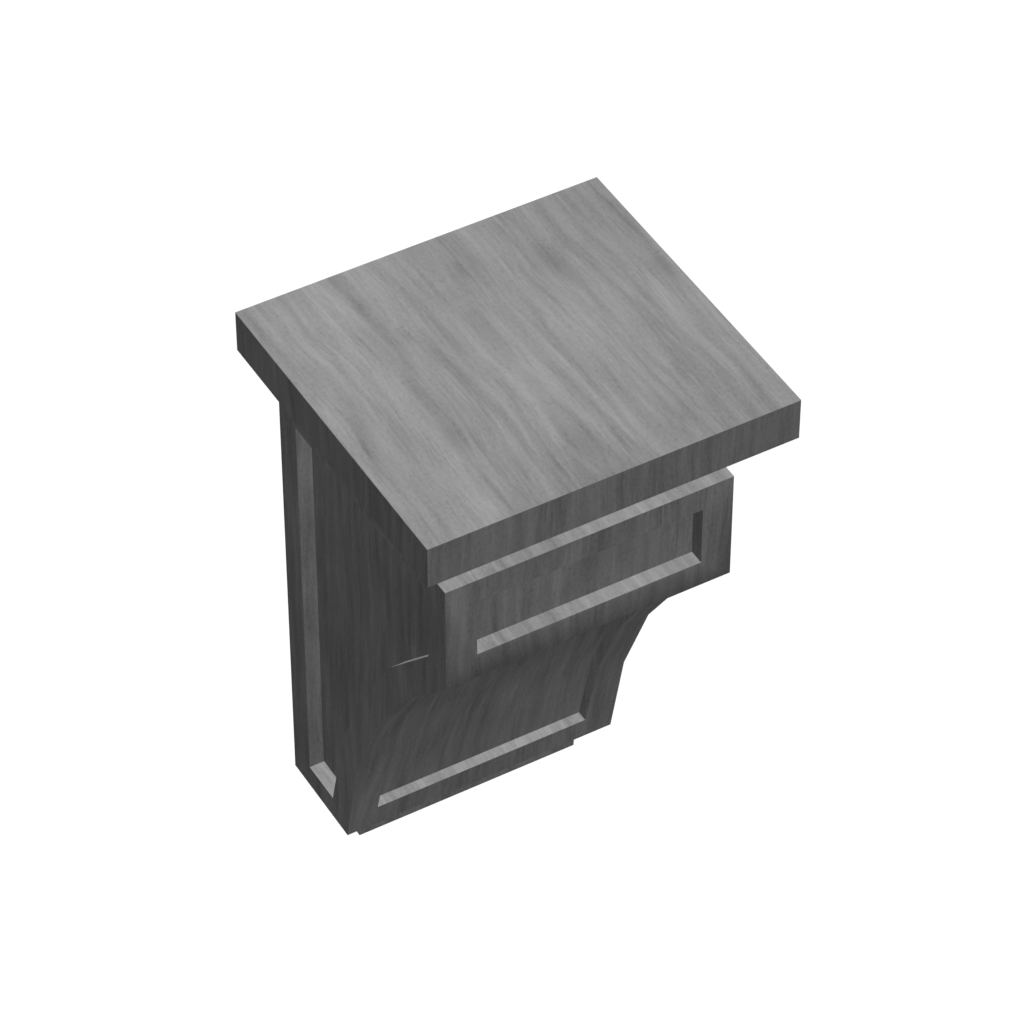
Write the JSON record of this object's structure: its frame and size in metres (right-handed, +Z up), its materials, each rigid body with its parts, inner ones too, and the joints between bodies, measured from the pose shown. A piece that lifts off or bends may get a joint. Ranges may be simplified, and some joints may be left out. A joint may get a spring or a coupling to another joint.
{
  "type": "corbel",
  "caption": "Grey timber corbel with recessed panels and a hollow front of straight cuts under an overhanging square-edged cap board, for carrying a shelf or beam on a wall.",
  "frame": {"origin": "middle of the bracket's flat back, the face that is fastened to the wall", "axes": "+X to the right as the front is faced, -Y towards the front, +Y into the wall, +Z up"},
  "size_m": [0.1906, 0.1778, 0.3302],
  "materials": {
    "grey_timber": "matt grey stain with the grain showing"
  },
  "bodies": {
    "root": {"bracket_body": "grey_timber", "cap_board": "grey_timber"}
  },
  "joints": []
}
